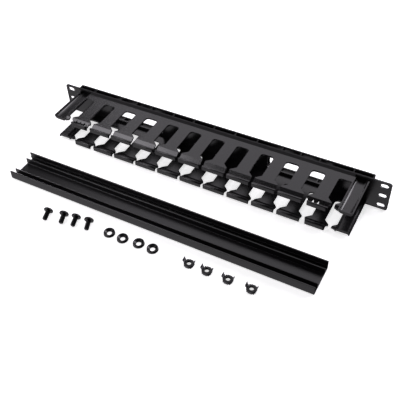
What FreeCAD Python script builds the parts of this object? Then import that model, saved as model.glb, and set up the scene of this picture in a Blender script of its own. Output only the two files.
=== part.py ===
import FreeCAD, Part
import math
import os
import re

import Sketcher

# Horizontal cable manager for a 19 inch rack, one unit high: a one-piece finger duct, its clip-on
# cover taken off and laid on its back in front of it, and the mounting kit beside the cover.
#
# Frame: +X along the panel, +Y into the rack, +Z up. The origin is the centre of the bolt pattern
# on the face of the ears that bears against the rack rails.

SIZES = {
    # Rack panel with its two ears
    "rack_width": 482.6,
    "panel_height": 44.0,
    "panel_thickness": 2.0,
    "ear_corner_radius": 3.0,
    "ear_reach": 26.8,
    "ear_hole_inset": 8.75,
    "hole_pitch": 15.875,
    "ear_slot_length": 10.0,
    "ear_slot_height": 6.2,
    # Ribbed trough on the back of the panel
    "trough_overhang": 3.5,
    "trough_depth": 7.4,
    "trough_wall": 1.4,
    "rib_thickness": 1.2,
    "web_thickness": 2.0,
    "rib_inset_1": 25.8,
    "rib_inset_2": 70.0,
    "rib_inset_3": 95.3,
    "rib_inset_4": 120.3,
    "rib_inset_5": 155.3,
    "rib_inset_6": 187.0,
    # Pass-through windows
    "window_near_edge": 79.7,
    "window_length": 83.3,
    "window_height": 27.0,
    "window_radius": 3.0,
    # Finger walls and the slots between the fingers
    "duct_height": 40.0,
    "wall_thickness": 2.4,
    "root_ramp": 3.5,
    "slot_count": 12,
    "slot_width": 17.6,
    "slot_start": 13.3,
    "slot_radius": 4.0,
    "shoulder_setback": 16.7,
    "shoulder_length": 5.8,
    "mouth_width": 4.6,
    # Tips of the fingers: a ramp down to a groove, then a lip that the cover snaps over
    "ramp_setback": 9.6,
    "ramp_length": 5.0,
    "groove_depth": 2.6,
    "finger_reach": 68.0,
    "lip_thickness": 2.6,
    "lip_setback": 0.4,
    "lip_slope": 0.5,
    "lip_inset": 7.6,
    "lip_radius": 0.9,
    "lip_heel_radius": 1.8,
    # Channel-shaped end fingers
    "tray_width": 18.5,
    "tray_inset": 1.45,
    "tray_reach": 62.8,
    "tray_rim_drop": 0.8,
    "tray_depth": 4.2,
    "tray_wall": 1.6,
    "tray_inner_radius": 3.2,
    "tray_front_lip": 2.6,
    "nib_setback": 7.0,
    # Four clip fingers: a see-through opening with notched edge behind a narrowed lip
    "clip_gap": 3.4,
    "clip_arm_width": 2.0,
    "clip_neck_length": 8.0,
    "clip_neck_inset": 2.0,
    "clip_lip_radius": 2.8,
    "notch_width": 2.4,
    "notch_length": 3.0,
    "notch_pitch": 6.5,
    # Clip-on cover
    "cover_height": 13.2,
    "cover_floor": 1.8,
    "cover_flange": 1.6,
    "cover_lean": 0.5,
    "cover_corner_radius": 2.6,
    "cover_rib_height": 8.2,
    "cover_rib_thickness": 1.4,
    "snap_clearance": 0.3,
    "snap_bead": 1.2,
    "snap_bead_height": 2.2,
    # Rack screw
    "thread_diameter": 6.0,
    "shank_length": 12.8,
    "screw_head_diameter": 12.0,
    "screw_head_height": 3.4,
    "screw_head_rim": 1.2,
    "screw_dome_diameter": 10.0,
    "screw_dome_start": 2.5,
    "screw_top_diameter": 6.8,
    "screw_tip_chamfer": 0.8,
    "recess_width": 5.6,
    "recess_web": 1.3,
    "recess_depth": 2.2,
    # Cup washer
    "washer_base_diameter": 14.4,
    "washer_rim_diameter": 13.6,
    "washer_height": 3.6,
    "washer_bore": 6.4,
    "washer_cup_diameter": 12.0,
    "washer_floor": 1.2,
    # Cage nut
    "nut_size": 9.6,
    "nut_thickness": 3.0,
    "nut_bore": 5.2,
    "nut_corner_chamfer": 0.8,
    "cage_sheet": 0.7,
    "cage_fit": 0.25,
    "cage_leg_height": 8.8,
    "cage_leg_depth": 5.6,
    "cage_flare": 1.3,
    "cage_flare_start": 4.9,
    "cage_tab_height": 3.2,
    "cage_tab_width": 5.0,
    "cage_hole": 7.2,
    "cage_bend": 0.5,
    # Layout on the table: the cover, then the kit in a row in front of it
    "cover_x": -6.0,
    "cover_y": -141.3,
    "screw_x_1": -134.3,
    "screw_x_2": -113.0,
    "screw_x_3": -96.3,
    "screw_x_4": -78.5,
    "screw_y_1": -194.1,
    "screw_y_2": -190.0,
    "screw_y_3": -187.2,
    "screw_y_4": -184.9,
    "screw_turn_1": 101.6,
    "screw_turn_2": 104.9,
    "screw_turn_3": 101.7,
    "screw_turn_4": 108.0,
    "washer_x_1": -46.9,
    "washer_x_2": -27.3,
    "washer_x_3": -5.6,
    "washer_x_4": 13.8,
    "washer_y_1": -187.4,
    "washer_y_2": -187.8,
    "washer_y_3": -185.9,
    "washer_y_4": -185.8,
    "nut_x_1": 64.0,
    "nut_x_2": 87.5,
    "nut_x_3": 114.6,
    "nut_x_4": 144.1,
    "nut_y_1": -186.5,
    "nut_y_2": -186.7,
    "nut_y_3": -186.8,
    "nut_y_4": -187.0,
}

COPIES = (1, 2, 3, 4)

# Sizes that follow from the driving ones, as expressions on the sheet
DUCT_LENGTH = "(rack_width - 2 * ear_reach)"
PITCH = f"(({DUCT_LENGTH} - 2 * tray_width - slot_width + 2 * tray_inset) / (slot_count - 1))"
HALF_PANEL = "(panel_height / 2)"
OUTER_FACE = "(duct_height / 2)"
INNER_FACE = "(duct_height / 2 - wall_thickness)"
TROUGH_END = f"({DUCT_LENGTH} / 2 + trough_overhang)"
TRAY_OUTSIDE = f"({DUCT_LENGTH} / 2)"
TRAY_INSIDE = f"({DUCT_LENGTH} / 2 - tray_width)"
TRAY_RIM = "(duct_height / 2 - tray_rim_drop)"
TRAY_FLOOR = "(duct_height / 2 - tray_rim_drop - tray_depth)"
TRAY_UNDERSIDE = "(duct_height / 2 - tray_rim_drop - tray_depth - tray_wall)"
TRAY_OUTER_RADIUS = "(tray_inner_radius + tray_wall)"
LAST_SLOT = f"((slot_count - 1) / 2 * {PITCH})"
CLIP_FINGER = f"((slot_count - 2) / 2 * {PITCH})"
HEAD_WIDTH = f"({PITCH} - mouth_width)"
LIP_EDGE = "(duct_height / 2 - lip_inset)"
LIP_BACK = "(finger_reach - lip_thickness)"
RAMP_START = "(finger_reach - ramp_setback)"
RAMP_END = "(finger_reach - ramp_setback + ramp_length)"
CLIP_EDGE = "(finger_reach - lip_thickness - clip_gap)"
CLIP_NECK = "(finger_reach - clip_neck_length)"
NIB_REACH = "(finger_reach - nib_setback)"
BEYOND_TIPS = "(finger_reach + 5)"
COVER_TOP = "(finger_reach + snap_clearance + cover_floor)"


# ---------------------------------------------------------------- sheet and drawing helpers

doc = FreeCAD.newDocument("cable_manager")
sheet = doc.addObject("Spreadsheet::Sheet", "Sizes")
for row, (alias, value) in enumerate(SIZES.items(), start=1):
    sheet.set(f"A{row}", alias.replace("_", " "))
    sheet.set(f"B{row}", str(value))
    sheet.setAlias(f"B{row}", alias)
doc.recompute()


def bound(text):
    """Turn an expression on plain aliases into one that any object of the document can hold."""
    return re.sub(r"[a-z]\w*", lambda word: f"Sizes.{word[0]}" if word[0] in SIZES else word[0], text)


def size(text):
    """The present value of an expression on the sheet."""
    return float(sheet.evalExpression(bound(text)))


def front(depth):
    """The y of a point that lies depth in front of the panel."""
    return f"(-(panel_thickness + {depth}))"


def new_body(label):
    body = doc.addObject("PartDesign::Body", label)
    body.Label = label
    return body


def new_sketch(body, plane, name, offset=None):
    """A sketch on one of the body's origin planes, moved along the plane's normal by offset."""
    sketch = body.newObject("Sketcher::SketchObject", name)
    support = next(f for f in body.Origin.OriginFeatures if f.Role == plane)
    sketch.AttachmentSupport = [(support, "")]
    sketch.MapMode = "FlatFace"
    if offset is not None:
        sketch.setExpression("AttachmentOffset.Base.z", bound(offset))
    return sketch


def hold(sketch, kind, *where, value):
    """Add a dimension to the sketch and tie it to the sheet."""
    index = sketch.addConstraint(Sketcher.Constraint(kind, *where, size(value)))
    sketch.setExpression(f"Constraints[{index}]", bound(value))


def hold_point(sketch, shape, end, x, y):
    """Fix a point of the sketch at x and y from its origin."""
    hold(sketch, "DistanceX", -1, 1, shape, end, value=x)
    hold(sketch, "DistanceY", -1, 1, shape, end, value=y)


def outline(sketch, corners):
    """Draw a closed outline through corners (x, y) or (x, y, radius), all tied to the sheet."""
    count = len(corners)
    points = [FreeCAD.Vector(size(corner[0]), size(corner[1]), 0) for corner in corners]
    starts, ends, arcs = list(points), list(points), {}
    for i, corner in enumerate(corners):
        if len(corner) < 3:
            continue
        radius = size(corner[2])
        back = (points[i - 1] - points[i]).normalize()
        ahead = (points[(i + 1) % count] - points[i]).normalize()
        half_angle = back.getAngle(ahead) / 2
        ends[i] = points[i] + back * (radius / math.tan(half_angle))
        starts[i] = points[i] + ahead * (radius / math.tan(half_angle))
        centre = points[i] + (back + ahead).normalize() * (radius / math.sin(half_angle))
        turns_left = back.cross(ahead).z < 0
        first, last = (ends[i], starts[i]) if turns_left else (starts[i], ends[i])
        circle = Part.Circle(centre, FreeCAD.Vector(0, 0, 1), radius)
        angles = [math.atan2(p.y - centre.y, p.x - centre.x) for p in (first, last)]
        arcs[i] = (Part.ArcOfCircle(circle, *angles), turns_left)
    base = sketch.GeometryCount
    for i in range(count):
        sketch.addGeometry(Part.LineSegment(starts[i], ends[(i + 1) % count]), False)
    for i, corner in enumerate(corners):
        before, after = base + (i - 1) % count, base + i
        if i not in arcs:
            sketch.addConstraint(Sketcher.Constraint("Coincident", before, 2, after, 1))
            hold_point(sketch, after, 1, corner[0], corner[1])
            continue
        arc = sketch.addGeometry(arcs[i][0], False)
        near, far = (1, 2) if arcs[i][1] else (2, 1)
        sketch.addConstraint(Sketcher.Constraint("Tangent", before, 2, arc, near))
        sketch.addConstraint(Sketcher.Constraint("Tangent", after, 1, arc, far))
        hold(sketch, "Radius", arc, value=corner[2])
        vertex = sketch.addGeometry(Part.Point(points[i]), True)
        sketch.addConstraint(Sketcher.Constraint("PointOnObject", vertex, 1, before))
        sketch.addConstraint(Sketcher.Constraint("PointOnObject", vertex, 1, after))
        hold_point(sketch, vertex, 1, corner[0], corner[1])


def circle(sketch, x, y, diameter):
    ring = Part.Circle(FreeCAD.Vector(size(x), size(y), 0), FreeCAD.Vector(0, 0, 1), size(diameter) / 2)
    shape = sketch.addGeometry(ring, False)
    hold(sketch, "Diameter", shape, value=diameter)
    hold_point(sketch, shape, 3, x, y)


def long_slot(sketch, x, y, length, height):
    """A level slot with round ends about the middle (x, y)."""
    radius, run = size(f"{height} / 2"), size(f"({length} - {height}) / 2")
    middle = FreeCAD.Vector(size(x), size(y), 0)
    arcs = []
    for side, angle in ((1, -math.pi / 2), (-1, math.pi / 2)):
        ring = Part.Circle(middle + FreeCAD.Vector(side * run, 0, 0), FreeCAD.Vector(0, 0, 1), radius)
        arc = sketch.addGeometry(Part.ArcOfCircle(ring, angle, angle + math.pi), False)
        hold_point(sketch, arc, 3, f"({x} + {side} * ({length} - {height}) / 2)", y)
        arcs.append(arc)
    for first, second in (arcs, arcs[::-1]):
        ends = [sketch.getPoint(first, 2), sketch.getPoint(second, 1)]
        line = sketch.addGeometry(Part.LineSegment(*ends), False)
        sketch.addConstraint(Sketcher.Constraint("Tangent", first, 2, line, 1))
        sketch.addConstraint(Sketcher.Constraint("Tangent", line, 2, second, 1))
    hold(sketch, "Radius", arcs[0], value=f"{height} / 2")


def rectangle(x, y, width, height, *radius):
    """The corners of a rectangle about the middle (x, y)."""
    sides = ((-1, -1), (1, -1), (1, 1), (-1, 1))
    return [(f"({x} + {u} * {width} / 2)", f"({y} + {v} * {height} / 2)", *radius) for u, v in sides]


def upside_down(corners):
    """The same outline on the other side of the sketch's level axis."""
    return [(x, f"(-{y})", *radius) for x, y, *radius in corners]


def pad(body, name, sketch, length, side="One side"):
    feature = body.newObject("PartDesign::Pad", name)
    feature.Profile = sketch
    feature.SideType = side
    feature.setExpression("Length", bound(length))
    return feature


def pocket_through(body, name, sketch):
    """Cut the sketch through everything on both sides of its plane."""
    feature = body.newObject("PartDesign::Pocket", name)
    feature.Profile = sketch
    feature.SideType = "Two sides"
    feature.Type = "ThroughAll"
    feature.Type2 = "ThroughAll"
    return feature


def pocket_into(body, name, sketch, depth):
    feature = body.newObject("PartDesign::Pocket", name)
    feature.Profile = sketch
    feature.setExpression("Length", bound(depth))
    return feature


def mirror(body, name, originals):
    """Repeat features on the other side of the plane x = 0."""
    feature = body.newObject("PartDesign::Mirrored", name)
    plane = next(f for f in body.Origin.OriginFeatures if f.Role == "YZ_Plane")
    feature.Originals = originals
    feature.MirrorPlane = (plane, [""])
    body.Tip = feature
    return feature


def row_along_x(body, name, originals, length, count):
    feature = body.newObject("PartDesign::LinearPattern", name)
    axis = next(f for f in body.Origin.OriginFeatures if f.Role == "X_Axis")
    feature.Originals = originals
    feature.Direction = (axis, [""])
    feature.setExpression("Length", bound(length))
    feature.setExpression("Occurrences", bound(count))
    body.Tip = feature
    return feature


# ---------------------------------------------------------------- finger duct


def wall_profile():
    """Section of the upper finger wall: panel root, plate, ramp, groove and snap lip."""
    ramp_shift = "wall_thickness * groove_depth / (2 * ramp_length)"
    groove = f"({OUTER_FACE} - groove_depth)"
    lip_top = f"({OUTER_FACE} - lip_setback)"
    return [
        ("0", INNER_FACE),
        ("0", HALF_PANEL),
        ("-panel_thickness", HALF_PANEL),
        (front("root_ramp"), OUTER_FACE),
        (front(RAMP_START), OUTER_FACE),
        (front(RAMP_END), groove),
        (front(LIP_BACK), groove),
        (front(f"{LIP_BACK} + lip_slope"), lip_top),
        (front("finger_reach"), lip_top, "lip_radius"),
        (front("finger_reach"), LIP_EDGE, "lip_heel_radius"),
        (front(LIP_BACK), LIP_EDGE),
        (front(LIP_BACK), f"({groove} - wall_thickness)"),
        (front(f"{RAMP_END} - {ramp_shift}"), f"({groove} - wall_thickness)"),
        (front(f"{RAMP_START} - {ramp_shift}"), INNER_FACE),
    ]


def trough_outline():
    """Plan of the trough: back wall, end walls and the ribs that tie it to the panel."""
    inside = "(trough_depth - trough_wall)"
    ribs = [f"({TROUGH_END} - rib_inset_{n})" for n in range(1, 7)]
    places = [f"(-{place})" for place in ribs] + ["0"] + ribs[::-1]
    corners = [(TROUGH_END, "0"), (TROUGH_END, "trough_depth")]
    corners += [(f"(-{TROUGH_END})", "trough_depth"), (f"(-{TROUGH_END})", "0")]
    corners += [(f"(-{TROUGH_END} + trough_wall)", "0"), (f"(-{TROUGH_END} + trough_wall)", inside)]
    for place in places:
        left, right = f"({place} - rib_thickness / 2)", f"({place} + rib_thickness / 2)"
        corners += [(left, inside), (left, "0"), (right, "0"), (right, inside)]
    corners += [(f"({TROUGH_END} - trough_wall)", inside), (f"({TROUGH_END} - trough_wall)", "0")]
    return corners


def slot_outline(middle):
    """Plan of one slot: rounded at the root, narrowed to a mouth between two finger heads."""

    def side(sign):
        wide, narrow = f"({middle} + {sign} * slot_width / 2)", f"({middle} + {sign} * mouth_width / 2)"
        return [
            (wide, front("slot_start"), "slot_radius"),
            (wide, front("(finger_reach - shoulder_setback)")),
            (narrow, front("(finger_reach - shoulder_setback + shoulder_length)")),
            (narrow, front(BEYOND_TIPS)),
        ]

    return side(1) + side(-1)[::-1]


def tray_section():
    """Section of the upper right end finger, a shallow channel open upwards."""
    left, right = TRAY_INSIDE, TRAY_OUTSIDE
    return [
        (left, TRAY_RIM),
        (left, TRAY_UNDERSIDE, TRAY_OUTER_RADIUS),
        (right, TRAY_UNDERSIDE, TRAY_OUTER_RADIUS),
        (right, TRAY_RIM),
        (f"({right} - tray_wall)", TRAY_RIM),
        (f"({right} - tray_wall)", TRAY_FLOOR, "tray_inner_radius"),
        (f"({left} + tray_wall)", TRAY_FLOOR, "tray_inner_radius"),
        (f"({left} + tray_wall)", TRAY_RIM),
    ]


def tray_front_section():
    """Section of the low lip that closes the front of an end finger."""
    top = f"({TRAY_FLOOR} + tray_front_lip)"
    return [
        (TRAY_INSIDE, top),
        (TRAY_INSIDE, TRAY_UNDERSIDE, TRAY_OUTER_RADIUS),
        (TRAY_OUTSIDE, TRAY_UNDERSIDE, TRAY_OUTER_RADIUS),
        (TRAY_OUTSIDE, top),
    ]


def clip_opening():
    """Plan of the opening between the notched plate of a clip finger and its lip."""
    edge = f"({HEAD_WIDTH} / 2 - clip_neck_inset - clip_arm_width)"
    plate, tooth_root = front(CLIP_EDGE), front(f"({CLIP_EDGE} - notch_length)")
    corners = [(f"({CLIP_FINGER} - {edge})", plate)]
    for step in ("(-1)", "0", "1"):
        x = f"({CLIP_FINGER} + {step} * notch_pitch)"
        corners += [(f"({x} - notch_width / 2)", plate), (x, tooth_root), (f"({x} + notch_width / 2)", plate)]
    corners += [(f"({CLIP_FINGER} + {edge})", plate), (f"({CLIP_FINGER} + {edge})", front(LIP_BACK))]
    return corners + [(f"({CLIP_FINGER} - {edge})", front(LIP_BACK))]


def clip_neck():
    """Plan of what is trimmed around the narrowed lip of a clip finger."""

    def side(sign):
        near = f"({CLIP_FINGER} + {sign} * ({HEAD_WIDTH} / 2 - clip_neck_inset))"
        far = f"({CLIP_FINGER} + {sign} * ({HEAD_WIDTH} / 2 + mouth_width / 4))"
        corners = [(near, front("finger_reach"), "clip_lip_radius"), (near, front(CLIP_NECK))]
        return corners + [(far, front(CLIP_NECK)), (far, front(BEYOND_TIPS))]

    return side(1) + side("(-1)")[::-1]


def both_ways_up(sketch, corners):
    """Draw an upper section and the lower one that mirrors it."""
    outline(sketch, corners)
    outline(sketch, upside_down(corners))


def add_panel(body):
    sketch = new_sketch(body, "XZ_Plane", "panel_outline")
    outline(sketch, rectangle("0", "0", "rack_width", "panel_height", "ear_corner_radius"))
    pad(body, "panel", sketch, "panel_thickness")
    sketch = new_sketch(body, "XY_Plane", "trough_plan")
    outline(sketch, trough_outline())
    pad(body, "trough", sketch, "panel_height", "Symmetric")
    sketch = new_sketch(body, "XZ_Plane", "web_outline")
    outline(sketch, rectangle("0", "0", f"(2 * {TROUGH_END} - trough_wall)", "web_thickness"))
    web = pad(body, "web", sketch, "(trough_depth - trough_wall / 2)")
    web.Reversed = True


def add_windows(body):
    sketch = new_sketch(body, "XZ_Plane", "window_outline")
    for side in ("1", "(-1)"):
        middle = f"({side} * (window_near_edge + window_length / 2))"
        outline(sketch, rectangle(middle, "0", "window_length", "window_height", "window_radius"))
    pocket_through(body, "windows", sketch)
    sketch = new_sketch(body, "XZ_Plane", "ear_slot_outline")
    for side in ("1", "(-1)"):
        for step in ("(-1)", "0", "1"):
            x, z = f"({side} * (rack_width / 2 - ear_hole_inset))", f"({step} * hole_pitch)"
            long_slot(sketch, x, z, "ear_slot_length", "ear_slot_height")
    pocket_through(body, "ear_slots", sketch)


def add_finger_walls(body):
    sketch = new_sketch(body, "YZ_Plane", "wall_section")
    both_ways_up(sketch, wall_profile())
    pad(body, "finger_walls", sketch, f"(2 * {TRAY_INSIDE})", "Symmetric")


def add_clip_fingers(body):
    sketch = new_sketch(body, "XY_Plane", "clip_plan")
    outline(sketch, clip_opening())
    outline(sketch, clip_neck())
    clip = pocket_through(body, "clip_tip", sketch)
    mirror(body, "clip_tips", [clip])


def add_slots(body):
    sketch = new_sketch(body, "XY_Plane", "slot_plan")
    outline(sketch, slot_outline(f"(-{LAST_SLOT})"))
    slot = pocket_through(body, "slot", sketch)
    row_along_x(body, "slots", [slot], f"(2 * {LAST_SLOT})", "slot_count")


def add_end_fingers(body):
    sketch = new_sketch(body, "XY_Plane", "nib_trim_plan")
    left = f"({LAST_SLOT} + mouth_width / 4)"
    right = f"({TRAY_INSIDE} + tray_wall)"
    tip = [(left, front(NIB_REACH)), (f"({LAST_SLOT} + mouth_width / 2)", front(NIB_REACH))]
    tip += [(TRAY_INSIDE, front("tray_reach")), (right, front("tray_reach"))]
    outline(sketch, tip + [(right, front(BEYOND_TIPS)), (left, front(BEYOND_TIPS))])
    trim = pocket_through(body, "nib_trim", sketch)
    mirror(body, "nib_trims", [trim])
    sketch = new_sketch(body, "XZ_Plane", "tray_section")
    both_ways_up(sketch, tray_section())
    tray = pad(body, "tray", sketch, "(panel_thickness + tray_reach)")
    sketch = new_sketch(body, "XZ_Plane", "tray_front_section", "(panel_thickness + tray_reach - tray_wall)")
    both_ways_up(sketch, tray_front_section())
    lip = pad(body, "tray_front", sketch, "tray_wall")
    mirror(body, "trays", [tray, lip])


def build_finger_duct():
    body = new_body("finger_duct")
    add_panel(body)
    add_windows(body)
    add_finger_walls(body)
    add_clip_fingers(body)
    add_slots(body)
    add_end_fingers(body)
    return body


# ---------------------------------------------------------------- clip-on cover


def cover_half_section():
    """Right half of the cover's section, from its rounded outer corner in to the middle."""
    inside = f"({HALF_PANEL} - cover_flange)"
    rib = f"({LIP_EDGE} - snap_clearance)"
    rib_top = "(cover_floor + cover_rib_height)"
    groove_middle = f"(({RAMP_END} + {LIP_BACK}) / 2)"
    bead = f"({COVER_TOP} - {groove_middle})"

    def leaning(y):
        return f"({inside} - cover_lean * ({y}) / cover_height)"

    above, below = f"({bead} + snap_bead_height / 2)", f"({bead} - snap_bead_height / 2)"
    return [
        (HALF_PANEL, "0", "cover_corner_radius"),
        (f"({HALF_PANEL} - cover_lean)", "cover_height"),
        (leaning("cover_height"), "cover_height"),
        (leaning(above), above),
        (f"({leaning(bead)} - snap_bead)", bead),
        (leaning(below), below),
        (leaning("cover_floor"), "cover_floor"),
        (rib, "cover_floor"),
        (rib, rib_top),
        (f"({rib} - cover_rib_thickness)", rib_top),
        (f"({rib} - cover_rib_thickness)", "cover_floor"),
    ]


def build_cover():
    """The cover as drawn on its back, its outer face on the table."""
    body = new_body("clip_on_cover")
    sketch = new_sketch(body, "YZ_Plane", "cover_section")
    half = cover_half_section()
    other_half = [(f"(-{x})", *rest) for x, *rest in reversed(half)]
    outline(sketch, half + other_half)
    pad(body, "cover", sketch, DUCT_LENGTH, "Symmetric")
    body.setExpression("Placement.Base.x", bound("cover_x"))
    body.setExpression("Placement.Base.y", bound("cover_y"))
    body.setExpression("Placement.Base.z", bound(f"-{HALF_PANEL}"))
    return body


# ---------------------------------------------------------------- mounting kit


def revolve(body, name, sketch):
    """Turn the sketch about the body's z axis."""
    feature = body.newObject("PartDesign::Revolution", name)
    axis = next(f for f in body.Origin.OriginFeatures if f.Role == "Z_Axis")
    feature.Profile = sketch
    feature.ReferenceAxis = (axis, [""])
    feature.Angle = 360
    return feature


def cross_outline(width, web):
    """The twelve corners of a cross recess about the origin."""
    a, b = f"({width} / 2)", f"({web} / 2)"
    quarter = [(a, b), (b, b), (b, a)]
    corners = []
    for x_sign, y_sign in ((1, 1), (-1, 1), (-1, -1), (1, -1)):
        turn = [(f"({x_sign} * {x})", f"({y_sign} * {y})") for x, y in quarter]
        corners += turn if x_sign * y_sign > 0 else turn[::-1]
    return corners


def build_screw(number):
    """A pan-head rack screw that lies on the rim of its head and the end of its thread."""
    body = new_body(f"screw_{number}")
    sketch = new_sketch(body, "XZ_Plane", "screw_section")
    rim, core = "(screw_head_diameter / 2)", "(thread_diameter / 2)"
    corners = [("0", "screw_head_height"), ("(screw_top_diameter / 2)", "screw_head_height")]
    corners += [("(screw_dome_diameter / 2)", "screw_dome_start"), (rim, "screw_head_rim"), (rim, "0")]
    corners += [(core, "0"), (core, "(screw_tip_chamfer - shank_length)")]
    corners += [(f"({core} - screw_tip_chamfer)", "(-shank_length)"), ("0", "(-shank_length)")]
    outline(sketch, corners)
    revolve(body, "screw_turning", sketch)
    sketch = new_sketch(body, "XY_Plane", "recess_outline", "screw_head_height")
    outline(sketch, cross_outline("recess_width", "recess_web"))
    pocket_into(body, "recess", sketch, "recess_depth")
    drop = size(f"{rim} - {core}")
    tilt = math.degrees(math.atan2(drop, size("shank_length - screw_tip_chamfer")))
    rise = size(rim) * math.cos(math.radians(tilt))
    turn = FreeCAD.Rotation(FreeCAD.Vector(0, 0, 1), size(f"screw_turn_{number}"))
    lay_down = FreeCAD.Rotation(FreeCAD.Vector(0, 1, 0), 90 - tilt)
    place = FreeCAD.Vector(size(f"screw_x_{number}"), size(f"screw_y_{number}"), rise - size(HALF_PANEL))
    body.Placement = FreeCAD.Placement(place, turn.multiply(lay_down))
    return body


def set_on_table(body, x, y, height="0"):
    body.setExpression("Placement.Base.x", bound(x))
    body.setExpression("Placement.Base.y", bound(y))
    body.setExpression("Placement.Base.z", bound(f"{height} - {HALF_PANEL}"))


def build_washer(number):
    """A plastic cup washer, its countersunk side up."""
    body = new_body(f"cup_washer_{number}")
    sketch = new_sketch(body, "XZ_Plane", "washer_section")
    bore = "(washer_bore / 2)"
    corners = [(bore, "0"), ("(washer_base_diameter / 2)", "0")]
    corners += [("(washer_rim_diameter / 2)", "washer_height")]
    corners += [("(washer_cup_diameter / 2)", "washer_height"), (bore, "washer_floor")]
    outline(sketch, corners)
    revolve(body, "washer_turning", sketch)
    set_on_table(body, f"washer_x_{number}", f"washer_y_{number}")
    return body


def build_nut_cage(number):
    """The sprung cage of a cage nut: a floor with two flared legs and two end tabs."""
    body = new_body(f"nut_cage_{number}")
    inside = "(nut_size / 2 + cage_fit)"
    outside = f"({inside} + cage_sheet)"
    flare = "(cage_flare_start + cage_flare)"
    sketch = new_sketch(body, "XZ_Plane", "cage_section")
    half = [
        (outside, "0", "cage_bend"),
        (outside, "cage_flare_start"),
        (f"({outside} + cage_flare)", flare),
        (f"({outside} + cage_flare)", "cage_leg_height"),
        (f"({inside} + cage_flare)", "cage_leg_height"),
        (f"({inside} + cage_flare)", flare),
        (inside, "cage_flare_start"),
        (inside, "cage_sheet"),
    ]
    outline(sketch, half + [(f"(-{x})", *rest) for x, *rest in reversed(half)])
    pad(body, "cage_strip", sketch, "cage_leg_depth", "Symmetric")
    sketch = new_sketch(body, "XY_Plane", "floor_outline")
    outline(sketch, rectangle("0", "0", "nut_size", "nut_size"))
    pad(body, "cage_floor", sketch, "cage_sheet")
    sketch = new_sketch(body, "YZ_Plane", "tab_section")
    half = [(outside, "0"), (outside, "cage_tab_height"), (inside, "cage_tab_height"), (inside, "cage_sheet")]
    outline(sketch, half + [(f"(-{x})", *rest) for x, *rest in reversed(half)])
    pad(body, "end_tabs", sketch, "cage_tab_width", "Symmetric")
    sketch = new_sketch(body, "XY_Plane", "cage_hole_outline")
    circle(sketch, "0", "0", "cage_hole")
    pocket_through(body, "cage_hole", sketch)
    set_on_table(body, f"nut_x_{number}", f"nut_y_{number}")
    return body


def build_square_nut(number):
    """The square nut that sits on the floor of its cage."""
    body = new_body(f"square_nut_{number}")
    sketch = new_sketch(body, "XY_Plane", "nut_outline")
    edge, cut = "(nut_size / 2)", "(nut_size / 2 - nut_corner_chamfer)"
    corners = []
    for x_sign, y_sign in ((1, 1), (-1, 1), (-1, -1), (1, -1)):
        pair = [(f"({x_sign} * {edge})", f"({y_sign} * {cut})")]
        pair += [(f"({x_sign} * {cut})", f"({y_sign} * {edge})")]
        corners += pair if x_sign * y_sign > 0 else pair[::-1]
    outline(sketch, corners)
    circle(sketch, "0", "0", "nut_bore")
    pad(body, "nut", sketch, "nut_thickness")
    set_on_table(body, f"nut_x_{number}", f"nut_y_{number}", "cage_sheet")
    return body


# ---------------------------------------------------------------- build, check and write


def build_all():
    bodies = [build_finger_duct(), build_cover()]
    for make in (build_screw, build_washer, build_nut_cage, build_square_nut):
        bodies += [make(number) for number in COPIES]
    return bodies


def check(bodies):
    """Stop if an object failed, a shape is missing or broken, or a cut removed nothing."""
    for item in doc.Objects:
        if "Invalid" in item.State or "Error" in item.State:
            raise RuntimeError(f"{item.Label} failed: {item.State}")
        if item.TypeId == "PartDesign::Pocket":
            if item.Shape.Volume >= item.BaseFeature.Shape.Volume - 1e-6:
                raise RuntimeError(f"{item.Label} cuts nothing")
    for body in bodies:
        if body.Shape.isNull() or not body.Shape.isValid() or len(body.Shape.Solids) != 1:
            raise RuntimeError(f"{body.Label} is not one valid solid")


def write_parts(bodies):
    os.makedirs("parts", exist_ok=True)
    for body in bodies:
        body.Shape.exportStep(f"parts/{body.Label}.step")
        print(f"{body.Label}: {body.Shape.Volume / 1000:.2f} cm3")


parts = build_all()
doc.recompute()
check(parts)
write_parts(parts)
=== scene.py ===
"""Dresses the rack cable manager, its clip-on cover and its mounting kit for a studio picture."""

import logging
import math
from dataclasses import dataclass, field
from enum import Enum
from functools import lru_cache
from typing import Any, Iterable, Protocol, Sequence, Union

import bmesh
import bpy
from mathutils import Euler, Matrix, Vector


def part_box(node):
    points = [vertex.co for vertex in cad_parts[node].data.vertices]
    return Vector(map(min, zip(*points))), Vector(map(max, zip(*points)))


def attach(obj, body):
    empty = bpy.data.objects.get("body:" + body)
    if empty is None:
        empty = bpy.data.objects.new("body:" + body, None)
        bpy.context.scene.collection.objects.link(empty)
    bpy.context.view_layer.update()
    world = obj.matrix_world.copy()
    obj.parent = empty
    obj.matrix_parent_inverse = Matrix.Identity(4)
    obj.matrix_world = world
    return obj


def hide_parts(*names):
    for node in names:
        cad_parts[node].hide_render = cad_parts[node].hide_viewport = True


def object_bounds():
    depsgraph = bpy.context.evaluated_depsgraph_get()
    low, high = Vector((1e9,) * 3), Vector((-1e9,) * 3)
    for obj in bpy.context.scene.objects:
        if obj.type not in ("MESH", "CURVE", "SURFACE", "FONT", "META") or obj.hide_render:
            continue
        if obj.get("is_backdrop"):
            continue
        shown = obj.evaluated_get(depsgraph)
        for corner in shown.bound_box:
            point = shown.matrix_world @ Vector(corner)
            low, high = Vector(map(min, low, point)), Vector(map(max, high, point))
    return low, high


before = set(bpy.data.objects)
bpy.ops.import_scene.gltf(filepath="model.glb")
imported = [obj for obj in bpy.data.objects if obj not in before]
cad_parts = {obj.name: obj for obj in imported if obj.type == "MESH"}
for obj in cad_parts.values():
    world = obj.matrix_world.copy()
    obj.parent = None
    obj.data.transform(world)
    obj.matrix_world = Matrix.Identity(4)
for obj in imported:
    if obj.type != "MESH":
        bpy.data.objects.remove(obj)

log = logging.getLogger("cable_manager")

Number = Union[int, float]
Term = Union["Value", Number]
Point = tuple[float, float, float]
Profile = Sequence[tuple[float, float]]

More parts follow.
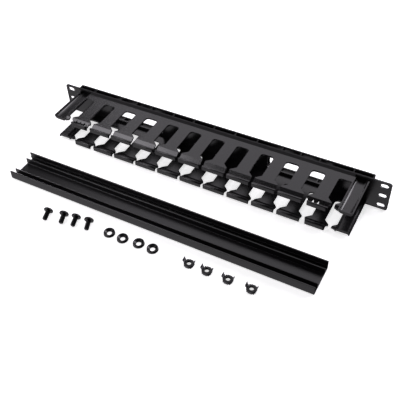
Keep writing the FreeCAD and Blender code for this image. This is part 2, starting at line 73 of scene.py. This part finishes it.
MM = 0.001

# Where the duct's matt root fades in or out: the depth, the height from the middle, and the ends.
ROOT_DEPTH = (-6.2 * MM, -5.2 * MM)
ROOT_HEIGHT = (19.7 * MM, 20.2 * MM)
ROOT_END = (218.5 * MM, 219.0 * MM)

# Points this close, in metres, are joined before edges are rounded.
JOIN_DISTANCE = 1e-6

# Only edges that turn by more than this, in degrees, are rounded.
SHARP_ANGLE = 32.0


class Surface(Enum):
    """The kinds of texture that a moulding tool or an extrusion die leaves."""

    SPARK_ERODED = "spark_eroded"
    DRAWN = "drawn"


class Value:
    """A node's output, such as a number that varies over a surface, with Python's arithmetic on it."""

    def __init__(self, graph: "Graph", socket: bpy.types.NodeSocket) -> None:
        """Wrap an output socket of a graph."""
        self.graph = graph
        self.socket = socket

    def _math(self, operation: str, *terms: Term) -> "Value":
        """Add a Math node on these terms and return its result."""
        inputs = {index: term for index, term in enumerate(terms)}
        return self.graph.add("ShaderNodeMath", {"operation": operation}, inputs)

    def __add__(self, other: Term) -> "Value":
        """This number plus another."""
        return self._math("ADD", self, other)

    def __radd__(self, other: Term) -> "Value":
        """Another number plus this one."""
        return self._math("ADD", other, self)

    def __sub__(self, other: Term) -> "Value":
        """This number less another."""
        return self._math("SUBTRACT", self, other)

    def __rsub__(self, other: Term) -> "Value":
        """Another number less this one."""
        return self._math("SUBTRACT", other, self)

    def __mul__(self, other: Term) -> "Value":
        """This number times another."""
        return self._math("MULTIPLY", self, other)

    def __rmul__(self, other: Term) -> "Value":
        """Another number times this one."""
        return self._math("MULTIPLY", other, self)

    def between(self, low: float, high: float) -> "Value":
        """This number, as it goes from low to high, mapped smoothly to 0 to 1.

        Args:
            low: The number that gives 0.
            high: The number that gives 1.

        Returns:
            The mapped number, kept within 0 and 1.
        """
        settings = {"interpolation_type": "SMOOTHSTEP"}
        inputs = {"Value": self, "From Min": low, "From Max": high}
        return self.graph.add("ShaderNodeMapRange", settings, inputs, "Result")


class Graph:
    """The node graph of one material or of the room."""

    def __init__(self, owner: Union[bpy.types.Material, bpy.types.World]) -> None:
        """Start an empty graph for its owner.

        Args:
            owner: The material or the world that the graph belongs to.
        """
        owner.use_nodes = True
        self.owner = owner
        self.tree = owner.node_tree
        self.tree.nodes.clear()

    @classmethod
    def for_material(cls, name: str) -> "Graph":
        """Start an empty material of this name."""
        return cls(bpy.data.materials.new(name))

    def node(
        self,
        kind: str,
        settings: dict[str, Any] | None = None,
        inputs: dict[str | int, Any] | None = None,
    ) -> bpy.types.Node:
        """Add one node.

        Args:
            kind: The node's type.
            settings: Its own settings, set before its sockets.
            inputs: The values or links of its input sockets, by name or place.

        Returns:
            The node.
        """
        node = self.tree.nodes.new(kind)
        for key, setting in (settings or {}).items():
            setattr(node, key, setting)
        for key, item in (inputs or {}).items():
            if isinstance(item, Value):
                self.tree.links.new(item.socket, node.inputs[key])
            else:
                node.inputs[key].default_value = item
        return node

    def add(
        self,
        kind: str,
        settings: dict[str, Any] | None = None,
        inputs: dict[str | int, Any] | None = None,
        output: str | int = 0,
    ) -> Value:
        """Add one node as node() does, and return its wanted output, picked by name or place."""
        return Value(self, self.node(kind, settings, inputs).outputs[output])

    def place(self) -> Value:
        """The point on the object, in metres."""
        return self.add("ShaderNodeTexCoord", output="Object")

    def along(self, axis: str) -> Value:
        """One coordinate of the point on the object, in metres."""
        return self.add("ShaderNodeSeparateXYZ", {}, {0: self.place()}, axis)

    def stretched(self, factors: Point) -> Value:
        """The point on the object, stretched by a factor along each axis."""
        settings = {"operation": "MULTIPLY"}
        return self.add("ShaderNodeVectorMath", settings, {0: self.place(), 1: factors})

    def noise(self, size: float, detail: float = 2.0, stretch: Point = (1.0, 1.0, 1.0)) -> Value:
        """Soft noise whose patches are about size metres across, from 0 to 1."""
        inputs = {"Vector": self.stretched(stretch), "Scale": 1.0 / size, "Detail": detail}
        return self.add("ShaderNodeTexNoise", {}, inputs, "Fac")

    def cells(self, size: float) -> Value:
        """Distance to the nearest point of a scatter, in shares of the size given in metres."""
        return self.add("ShaderNodeTexVoronoi", {}, {"Vector": self.place(), "Scale": 1.0 / size}, "Distance")

    def mix(self, factor: Term, first: Any, second: Any) -> Value:
        """A colour that goes from first to second with the factor."""
        settings = {"data_type": "RGBA"}
        return self.add("ShaderNodeMix", settings, {0: factor, 6: first, 7: second}, 2)

    def bump(self, height: Value, depth: float) -> Value:
        """A normal that shows the height as relief of the depth given in metres."""
        inputs = {"Height": height, "Distance": depth, "Strength": 1.0}
        return self.add("ShaderNodeBump", {}, inputs, "Normal")

    def finish(self, **inputs: Any) -> bpy.types.Material:
        """Close the graph with a Principled shader.

        Args:
            **inputs: Its sockets, with underscores for the spaces in their names.

        Returns:
            The material.
        """
        named = {key.replace("_", " "): item for key, item in inputs.items()}
        shader = self.add("ShaderNodeBsdfPrincipled", {}, named)
        self.node("ShaderNodeOutputMaterial", {}, {"Surface": shader})
        return self.owner


class Finish(Protocol):
    """A finish that can build its own material."""

    name: str

    def material(self) -> bpy.types.Material:
        """Build the material."""


@lru_cache(maxsize=None)
def made(finish: Finish) -> bpy.types.Material:
    """The material of a finish, built the first time it is asked for."""
    return finish.material()


@dataclass(frozen=True)
class BlackPlastic:
    """Black plastic with a fine grain, faint flow clouds and a few specks of dust."""

    name: str
    shade: float = 0.0045
    roughness: float = 0.24
    grain: float = 0.00045
    relief: float = 0.000014
    surface: Surface = Surface.SPARK_ERODED
    matt_root: bool = False
    root_matt: float = 0.6
    draw: float = 0.05
    cloud: float = 0.03
    speck_gap: float = 0.006
    dust_patch: float = 0.02
    dust_share: float = 0.2
    dark_tint: Point = (0.9, 0.86, 0.96)
    pale_tint: Point = (1.12, 1.06, 1.24)
    dust_colour: Point = (0.2, 0.2, 0.2)

    def _tinted(self, tint: Point) -> tuple[float, ...]:
        """The plastic's own colour under a tint of red, green and blue."""
        return (*(self.shade * factor for factor in tint), 1.0)

    def material(self) -> bpy.types.Material:
        """Build the material.

        Returns:
            The material.
        """
        graph = Graph.for_material(self.name)
        stretch = (self.draw if self.surface is Surface.DRAWN else 1.0, 1.0, 1.0)
        fine = graph.noise(self.grain, 3.0, stretch)
        clouds = graph.noise(self.cloud, 2.0, stretch)
        specks = 1 - graph.cells(self.speck_gap).between(0.03, 0.07)
        dust = specks * graph.noise(self.dust_patch, 1.0).between(0.62, 0.7)
        tints = self._tinted(self.dark_tint), self._tinted(self.pale_tint)
        colour = graph.mix(clouds.between(0.3, 0.7), *tints)
        colour = graph.mix(dust * self.dust_share, colour, (*self.dust_colour, 1.0))
        rough = self.roughness + (clouds - 0.5) * 0.06 + (fine - 0.5) * 0.1 + dust * self.dust_share
        if self.matt_root:
            rough = rough + self._root_line(graph) * self.root_matt
        normal = graph.bump(fine, self.relief)
        return graph.finish(Base_Color=colour, Roughness=rough, Normal=normal)

    @staticmethod
    def _root_line(graph: Graph) -> Value:
        """A mask of the panel's long edges and the finger walls' foot, which are kept more matt.

        Args:
            graph: The material's graph.

        Returns:
            The mask, from 0 to 1.
        """
        depth, rise = graph.along("Y"), graph.along("Z")
        near_panel = depth.between(*ROOT_DEPTH)
        outer = (rise * rise).between(*(height**2 for height in ROOT_HEIGHT))
        inside_ears = 1 - (graph.along("X") * graph.along("X")).between(*(edge**2 for edge in ROOT_END))
        return near_panel * outer * inside_ears


@dataclass(frozen=True)
class DarkSteel:
    """Steel with a dark coating that thins to bare metal in places."""

    name: str
    coat: Point = (0.008, 0.008, 0.009)
    bare: Point = (0.16, 0.16, 0.17)
    wear: float = 0.25
    roughness: float = 0.36
    patch: float = 0.003
    grain: float = 0.0004
    relief: float = 0.000012

    def material(self) -> bpy.types.Material:
        """Build the material.

        Returns:
            The material.
        """
        graph = Graph.for_material(self.name)
        patches = graph.noise(self.patch, 4.0)
        fine = graph.noise(self.grain, 3.0)
        thin = (patches * 0.7 + fine * 0.3).between(0.62, 0.78) * self.wear
        colour = graph.mix(thin, (*self.coat, 1.0), (*self.bare, 1.0))
        rough = self.roughness + (fine - 0.5) * 0.16 - thin * 0.08
        normal = graph.bump(fine, self.relief)
        return graph.finish(Base_Color=colour, Roughness=rough, Metallic=0.3 + thin * 0.6, Normal=normal)


@dataclass(frozen=True)
class StudioFloor:
    """The pale lit table that the object stands on."""

    name: str = "pale_sweep"
    shade: float = 0.9
    glow: float = 0.8
    cloud: float = 0.4
    clouded: float = 0.985
    roughness: float = 0.8

    def material(self) -> bpy.types.Material:
        """Build the material.

        Returns:
            The material.
        """
        graph = Graph.for_material(self.name)
        clouds = graph.noise(self.cloud, 2.0)
        low, high = self.shade * self.clouded, self.shade
        colour = graph.mix(clouds, (low, low, low, 1.0), (high, high, high, 1.0))
        glow = {"Emission_Color": colour, "Emission_Strength": self.glow}
        return graph.finish(Base_Color=colour, Roughness=self.roughness, **glow)


def dress(piece: bpy.types.Object, material: bpy.types.Material) -> None:
    """Give a piece one material all over.

    Args:
        piece: The piece to dress.
        material: Its finish.
    """
    if not piece.material_slots:
        piece.data.materials.append(material)
    for holder in piece.material_slots:
        holder.link = "OBJECT"
        holder.material = material


def soften_edges(piece: bpy.types.Object, width: float, steps: int = 2) -> None:
    """Round a piece's sharp edges slightly, as a real moulding's are.

    Args:
        piece: The piece whose edges are rounded.
        width: The width of the rounding in metres.
        steps: The number of facets across it.
    """
    weld = piece.modifiers.new("joined_faces", "WELD")
    weld.merge_threshold = JOIN_DISTANCE
    bevel = piece.modifiers.new("edge_rounding", "BEVEL")
    bevel.width = width
    bevel.segments = steps
    bevel.limit_method = "ANGLE"
    bevel.angle_limit = math.radians(SHARP_ANGLE)
    bevel.harden_normals = False
    bevel.use_clamp_overlap = True


def new_piece(name: str, mesh: bmesh.types.BMesh, pose: Matrix) -> bpy.types.Object:
    """Turn a mesh in hand into a piece that rides on the row's one body.

    Args:
        name: The piece's name.
        mesh: Its mesh, which is freed.
        pose: Where it lies.

    Returns:
        The piece.
    """
    bmesh.ops.remove_doubles(mesh, verts=mesh.verts, dist=1e-7)
    bmesh.ops.recalc_face_normals(mesh, faces=mesh.faces)
    mesh.transform(pose)
    data = bpy.data.meshes.new(name)
    mesh.to_mesh(data)
    mesh.free()
    piece = bpy.data.objects.new(name, data)
    bpy.context.scene.collection.objects.link(piece)
    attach(piece, "root")
    return piece


def shade_smooth(piece: bpy.types.Object, angle: float) -> None:
    """Shade a piece smoothly, apart from its sharp edges.

    Args:
        piece: The piece to shade.
        angle: The angle in degrees beyond which an edge stays sharp.
    """
    data = piece.data
    data.polygons.foreach_set("use_smooth", [True] * len(data.polygons))
    data.set_sharp_from_angle(angle=math.radians(angle))


def foot(node: str) -> Vector:
    """The middle of the underside of a node's box."""
    low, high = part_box(node)
    return Vector(((low[0] + high[0]) / 2, (low[1] + high[1]) / 2, low[2]))


def circle_angles(steps: int) -> list[float]:
    """Evenly spaced angles round a full turn, in radians."""
    return [2 * math.pi * step / steps for step in range(steps)]


def bridge(mesh: bmesh.types.BMesh, rings: Sequence[Sequence[bmesh.types.BMVert]]) -> None:
    """Join each ring of points to the next with faces.

    Args:
        mesh: The mesh that gets the faces.
        rings: Rings with the same number of points each.
    """
    for lower, upper in zip(rings, rings[1:]):
        for step in range(len(lower)):
            after = (step + 1) % len(lower)
            mesh.faces.new([lower[step], lower[after], upper[after], upper[step]])


def lathe(mesh: bmesh.types.BMesh, profile: Profile, steps: int) -> None:
    """Turn a closed profile about the z axis.

    Args:
        mesh: The mesh that gets the faces.
        profile: Points (radius, height). The last one joins the first.
        steps: Facets round the axis.
    """
    turns = circle_angles(steps)
    rings = []
    for radius, height in profile:
        rings.append([mesh.verts.new((radius * math.cos(a), radius * math.sin(a), height)) for a in turns])
    bridge(mesh, rings + rings[:1])


def rounded(profile: Profile, radii: dict[int, float], steps: int = 5) -> list[tuple[float, float]]:
    """Round some corners of an open profile.

    Args:
        profile: The profile's points.
        radii: The radius at each corner that is rounded, by its place in the profile.
        steps: Facets along each rounding.

    Returns:
        The profile with its corners rounded.
    """
    result: list[tuple[float, float]] = []
    for place, point in enumerate(profile):
        if place not in radii:
            result.append(point)
            continue
        corner = Vector(point)
        back = (Vector(profile[place - 1]) - corner).normalized()
        ahead = (Vector(profile[(place + 1) % len(profile)]) - corner).normalized()
        half = back.angle(ahead) / 2
        reach = radii[place] / math.tan(half)
        start, end = corner + back * reach, corner + ahead * reach
        centre = corner + (back + ahead).normalized() * (radii[place] / math.sin(half))
        for step in range(steps + 1):
            spoke = (start - centre).slerp(end - centre, step / steps)
            spot = centre + spoke * radii[place]
            result.append((spot.x, spot.y))
    return result


@dataclass
class FingerDuct:
    """The one-piece moulding: panel, trough and two rows of fingers."""

    finish: BlackPlastic = BlackPlastic("duct_plastic", matt_root=True)
    edge: float = 0.4 * MM

    def build(self) -> bpy.types.Object:
        """Dress the moulding.

        Returns:
            The dressed piece.
        """
        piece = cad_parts["finger_duct"]
        dress(piece, made(self.finish))
        soften_edges(piece, self.edge)
        return piece


@dataclass
class ClipOnCover:
    """The extruded cover that lies on its back in front of the duct."""

    finish: BlackPlastic = BlackPlastic("cover_plastic", surface=Surface.DRAWN, roughness=0.32)
    edge: float = 0.3 * MM

    def build(self) -> bpy.types.Object:
        """Dress the cover.

        Returns:
            The dressed piece.
        """
        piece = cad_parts["clip_on_cover"]
        dress(piece, made(self.finish))
        soften_edges(piece, self.edge)
        return piece


@dataclass
class RackScrew:
    """A pan-head screw with a cross recess and a rolled thread, lying on its head's rim and its end."""

    number: int
    place: tuple[float, float]
    turn: float
    finish: DarkSteel
    thread_radius: float = 3.0 * MM
    shank: float = 12.8 * MM
    head_radius: float = 6.0 * MM
    head_height: float = 3.4 * MM
    head_rim: float = 0.9 * MM
    dome_power: float = 2.5
    recess_arm: float = 2.8 * MM
    recess_half_web: float = 0.65 * MM
    recess_depth: float = 2.2 * MM
    recess_side_slope: float = 0.3 * MM
    recess_end_slope: float = 1.1 * MM
    flat_radius: float = 3.3 * MM
    edge: float = 0.2 * MM
    tip: float = 0.8 * MM
    pitch: float = 1.0 * MM
    thread_depth: float = 0.55 * MM
    thread_flat: float = 0.12
    run_in_turns: float = 1.2
    table: float = -22.0 * MM

    def _thread_radius(self, angle: float, depth: float) -> float:
        """The thread's radius at one point of the shank.

        Args:
            angle: The angle round the shank in radians.
            depth: The depth under the head in metres.

        Returns:
            The radius in metres.
        """
        phase = (depth / self.pitch + angle / (2 * math.pi)) % 1.0
        ridge = min(1.0, max(0.0, (abs(2 * phase - 1) - self.thread_flat) / (1 - 2 * self.thread_flat)))
        core = self.thread_radius - self.thread_depth
        run_in = min(1.0, depth / (self.run_in_turns * self.pitch))
        tapered = self.thread_radius - self.tip + max(0.0, self.shank - depth)
        return min(core + self.thread_depth * ridge * run_in, tapered)

    def _shank(self, mesh: bmesh.types.BMesh) -> None:
        """Add the threaded shank.

        Args:
            mesh: The mesh that gets it.
        """
        around, levels = 48, 154
        rings = []
        for level in range(levels + 1):
            depth = self.shank * level / levels
            ring = []
            for angle in circle_angles(around):
                radius = self._thread_radius(angle, depth)
                ring.append(mesh.verts.new((radius * math.cos(angle), radius * math.sin(angle), -depth)))
            rings.append(ring)
        bridge(mesh, rings)
        mesh.faces.new(rings[-1])
        mesh.faces.new(rings[0])

    def _dome(self) -> list[tuple[float, float]]:
        """The head's profile from near its middle to its underside.

        Returns:
            Points (radius, height).
        """
        flat, inner_steps, outer_steps = self.flat_radius, 26, 14
        rise = self.head_height - self.head_rim
        radii = [flat * step / inner_steps for step in range(1, inner_steps)]
        for step in range(outer_steps + 1):
            radii.append(flat + (self.head_radius - flat) * math.sin(step / outer_steps * math.pi / 2))
        shares = [max(0.0, 1 - (r / self.head_radius) ** self.dome_power) for r in radii]
        heights = [self.head_rim + rise * share ** (1 / self.dome_power) for share in shares]
        under = [(self.head_radius, self.edge), (self.head_radius - self.edge, 0.0)]
        return list(zip(radii, heights)) + under

    def _head(self, mesh: bmesh.types.BMesh) -> None:
        """Add the domed head, whose cross recess is pressed in as a tapered hollow.

        Args:
            mesh: The mesh that gets it.
        """
        around = 96
        centre = mesh.verts.new((0, 0, self.head_height - self._recess(0, 0)))
        rings = []
        for radius, height in self._dome():
            ring = []
            for angle in circle_angles(around):
                x, y = radius * math.cos(angle), radius * math.sin(angle)
                ring.append(mesh.verts.new((x, y, height - self._recess(x, y))))
            rings.append(ring)
        for step in range(around):
            mesh.faces.new([centre, rings[0][step], rings[0][(step + 1) % around]])
        bridge(mesh, rings)
        mesh.faces.new(rings[-1])

    def _recess(self, x: float, y: float) -> float:
        """The depth of the cross recess under a point of the head.

        Args:
            x: The point's place along one arm of the cross.
            y: Its place along the other arm.

        Returns:
            The depth in metres.
        """
        share = 0.0
        for along, across in ((abs(x), abs(y)), (abs(y), abs(x))):
            side = min(1.0, max(0.0, (self.recess_half_web - across) / self.recess_side_slope + 0.5))
            end = min(1.0, max(0.0, (self.recess_arm - along) / self.recess_end_slope))
            share = max(share, side * end)
        return share * self.recess_depth

    def build(self) -> bpy.types.Object:
        """Make the screw and lay it down.

        Returns:
            The finished piece.
        """
        mesh = bmesh.new()
        self._shank(mesh)
        self._head(mesh)
        tilt = math.atan2(self.head_radius - self.thread_radius, self.shank - self.tip)
        rise = self.head_radius * math.cos(tilt)
        spot = Matrix.Translation((self.place[0], self.place[1], self.table + rise))
        turn = Matrix.Rotation(math.radians(self.turn), 4, "Z")
        lie = Matrix.Rotation(math.pi / 2 - tilt, 4, "Y")
        piece = new_piece(f"rack_screw_{self.number}", mesh, spot @ turn @ lie)
        shade_smooth(piece, 40)
        dress(piece, made(self.finish))
        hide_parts(f"screw_{self.number}")
        return piece


@dataclass
class CupWasher:
    """A moulded cup washer, countersunk on top."""

    number: int
    finish: BlackPlastic
    base_radius: float = 7.2 * MM
    rim_radius: float = 6.8 * MM
    height: float = 3.6 * MM
    bore: float = 3.2 * MM
    cup_radius: float = 6.0 * MM
    floor: float = 1.2 * MM

    def build(self) -> bpy.types.Object:
        """Make the washer where its solid lies.

        Returns:
            The finished piece.
        """
        corners = [(self.bore, 0.0), (self.base_radius, 0.0), (self.rim_radius, self.height)]
        corners += [(self.cup_radius, self.height), (self.bore, self.floor)]
        radii = {0: 0.15 * MM, 1: 0.35 * MM, 2: 0.38 * MM, 3: 0.36 * MM, 4: 0.25 * MM}
        mesh = bmesh.new()
        lathe(mesh, rounded(corners, radii), 96)
        place = Matrix.Translation(foot(f"cup_washer_{self.number}"))
        piece = new_piece(f"washer_{self.number}", mesh, place)
        shade_smooth(piece, 50)
        dress(piece, made(self.finish))
        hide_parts(f"cup_washer_{self.number}")
        return piece


@dataclass
class CageNut:
    """A square nut in its sprung cage."""

    number: int
    cage_finish: DarkSteel
    nut_finish: DarkSteel
    bore: float = 2.6 * MM
    thread: float = 0.35 * MM
    pitch: float = 1.0 * MM
    corner: float = 0.8 * MM
    edge: float = 0.25 * MM
    mouth: float = 0.5 * MM
    lead: float = 0.35 * MM
    sheet_edge: float = 0.12 * MM

    def _square(self, angle: float, half: float) -> tuple[float, float]:
        """A point on the nut's cut-cornered outline, in the direction of an angle.

        Args:
            angle: The direction from the nut's middle in radians.
            half: Half the nut's width.

        Returns:
            The point's x and y.
        """
        x, y = math.cos(angle), math.sin(angle)
        cut = (2 * half - self.corner) / (abs(x) + abs(y))
        reach = min(half / max(abs(x), abs(y)), cut)
        return x * reach, y * reach

    def _nut(self) -> bpy.types.Object:
        """Make the nut with its threaded bore.

        Returns:
            The nut.
        """
        low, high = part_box(f"square_nut_{self.number}")
        half, tall = (high[0] - low[0]) / 2, high[2] - low[2]
        mesh = bmesh.new()
        angles = circle_angles(96)
        rings: list[list[bmesh.types.BMVert]] = []

        def ring(points: Iterable[Point]) -> None:
            """Add one ring of points."""
            rings.append([mesh.verts.new(point) for point in points])

        edge, levels = self.edge, 56
        ring((*self._square(a, half - edge), 0.0) for a in angles)
        ring((*self._square(a, half), edge) for a in angles)
        ring((*self._square(a, half), tall - edge) for a in angles)
        ring((*self._square(a, half - edge), tall) for a in angles)
        mouth = self.bore + self.mouth
        ring((mouth * math.cos(a), mouth * math.sin(a), tall) for a in angles)
        for level in range(levels + 1):
            height = tall - self.lead - (tall - 2 * self.lead) * level / levels
            points = []
            for a in angles:
                phase = (height / self.pitch + a / (2 * math.pi)) % 1.0
                radius = self.bore + self.thread * abs(2 * phase - 1)
                points.append((radius * math.cos(a), radius * math.sin(a), height))
            ring(points)
        ring((mouth * math.cos(a), mouth * math.sin(a), 0.0) for a in angles)
        bridge(mesh, rings + rings[:1])
        place = Matrix.Translation(foot(f"square_nut_{self.number}"))
        piece = new_piece(f"threaded_nut_{self.number}", mesh, place)
        shade_smooth(piece, 30)
        dress(piece, made(self.nut_finish))
        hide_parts(f"square_nut_{self.number}")
        return piece

    def build(self) -> list[bpy.types.Object]:
        """Dress the cage and make its nut.

        Returns:
            The cage and the nut.
        """
        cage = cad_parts[f"nut_cage_{self.number}"]
        dress(cage, made(self.cage_finish))
        soften_edges(cage, self.sheet_edge)
        return [cage, self._nut()]


@dataclass
class SoftBox:
    """A large soft light."""

    name: str
    place: Point
    aim: Point
    width: float
    height: float
    power: float
    colour: Point = (1.0, 0.965, 1.03)

    def build(self) -> bpy.types.Object:
        """Hang the light and point it.

        Returns:
            The light.
        """
        lamp = bpy.data.lights.new(self.name, "AREA")
        lamp.shape = "RECTANGLE"
        lamp.size, lamp.size_y = self.width, self.height
        lamp.energy = self.power
        lamp.color = self.colour
        holder = bpy.data.objects.new(self.name, lamp)
        holder.location = self.place
        aim = Vector(self.aim) - Vector(self.place)
        holder.rotation_euler = aim.to_track_quat("-Z", "Y").to_euler()
        bpy.context.scene.collection.objects.link(holder)
        return holder


@dataclass
class Studio:
    """The floor, the lights and the camera."""

    table: float
    floor: StudioFloor = StudioFloor()
    lights: list[SoftBox] = field(default_factory=lambda: [
        SoftBox("left_box", (-0.66, -0.3, 1.0), (-0.1, -0.03, 0.0), 0.6, 0.4, 4.2),
        SoftBox("back_box", (-0.12, 1.15, 1.35), (0.05, -0.05, 0.0), 2.2, 1.3, 11.5),
        SoftBox("side_box", (-1.35, 1.25, 0.36), (0.1, 0.0, 0.0), 0.4, 0.6, 6.0),
        SoftBox("right_box", (0.95, 1.05, 0.65), (0.0, -0.05, 0.0), 1.0, 1.1, 21.0),
        SoftBox("front_box", (-0.9, -1.3, 0.35), (0.0, -0.1, 0.0), 1.0, 0.5, 5.0),
    ])
    reach: float = 6.0
    gap: float = 0.2 * MM
    dim: float = 0.04
    from_front: float = 0.68
    front_below: Point = (-0.357, -0.609, -0.708)
    front_spread: tuple[float, float] = (0.55, 1.0)
    room_colour: Point = (1.0, 0.97, 1.02)
    camera_place: Point = (0.31751, -0.58635, 0.55846)
    camera_turn: Point = (44.8561, 2.0746, 28.3027)
    lens: float = 57.747

    def _sweep(self) -> bpy.types.Object:
        """Lay the pale sweep under the object.

        Returns:
            The sweep.
        """
        mesh = bmesh.new()
        bmesh.ops.create_grid(mesh, x_segments=8, y_segments=8, size=self.reach)
        data = bpy.data.meshes.new("pale_sweep")
        mesh.to_mesh(data)
        mesh.free()
        sweep = bpy.data.objects.new("pale_sweep", data)
        sweep.location.z = self.table - self.gap
        bpy.context.scene.collection.objects.link(sweep)
        sweep.visible_glossy = sweep.visible_diffuse = False
        dress(sweep, made(self.floor))
        sweep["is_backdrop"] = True
        return sweep

    def _world(self) -> None:
        """Keep the room dim, but for soft light thrown up from the table's front."""
        world = bpy.data.worlds.new("soft_room")
        graph = Graph(world)
        way = graph.add("ShaderNodeTexCoord", output="Generated")
        inputs = {0: way, 1: self.front_below}
        facing = graph.add("ShaderNodeVectorMath", {"operation": "DOT_PRODUCT"}, inputs, "Value")
        strength = self.dim + facing.between(*self.front_spread) * self.from_front
        light = {"Color": (*self.room_colour, 1.0), "Strength": strength}
        room = graph.add("ShaderNodeBackground", {}, light)
        graph.node("ShaderNodeOutputWorld", {}, {"Surface": room})
        bpy.context.scene.world = world

    def _camera(self) -> bpy.types.Object:
        """Set up the camera in front of the right end, looking down to the left.

        Returns:
            The camera.
        """
        data = bpy.data.cameras.new("studio_camera")
        data.sensor_width, data.lens = 36.0, self.lens
        data.clip_start, data.clip_end = 0.01, 30.0
        camera = bpy.data.objects.new("studio_camera", data)
        turn = Euler([math.radians(angle) for angle in self.camera_turn])
        camera.matrix_world = Matrix.LocRotScale(Vector(self.camera_place), turn, None)
        bpy.context.scene.collection.objects.link(camera)
        bpy.context.scene.camera = camera
        return camera

    def build(self) -> None:
        """Set up the whole studio."""
        self._sweep()
        self._world()
        for light in self.lights:
            light.build()
        self._camera()
        bpy.context.scene.view_settings.view_transform = "Standard"


# Each rack screw's place on the table in metres, and its turn in degrees.
SCREWS = (
    (-0.1343, -0.1941, 101.6),
    (-0.1130, -0.1900, 104.9),
    (-0.0963, -0.1872, 101.7),
    (-0.0785, -0.1849, 108.0),
)


def main() -> None:
    """Build every piece in order, then the studio round them."""
    logging.basicConfig(level=logging.INFO, format="%(message)s")
    cad_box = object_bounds()
    screw_steel = DarkSteel("screw_steel")
    cage_steel = DarkSteel("cage_steel", coat=(0.05, 0.05, 0.055), bare=(0.25, 0.25, 0.27), wear=0.5)
    nut_steel = DarkSteel("nut_steel")
    washer_plastic = BlackPlastic("washer_plastic", roughness=0.35)
    assemblies: list[Any] = [FingerDuct(), ClipOnCover()]
    assemblies += [RackScrew(n, (x, y), turn, screw_steel) for n, (x, y, turn) in enumerate(SCREWS, start=1)]
    assemblies += [CupWasher(n, washer_plastic) for n in range(1, 5)]
    assemblies += [CageNut(n, cage_steel, nut_steel) for n in range(1, 5)]
    for assembly in assemblies:
        built = assembly.build()
        for piece in built if isinstance(built, list) else [built]:
            log.info("built %s, %d faces", piece.name, len(piece.data.polygons))
    Studio(table=cad_box[0][2]).build()


if __name__ == "__main__":
    main()
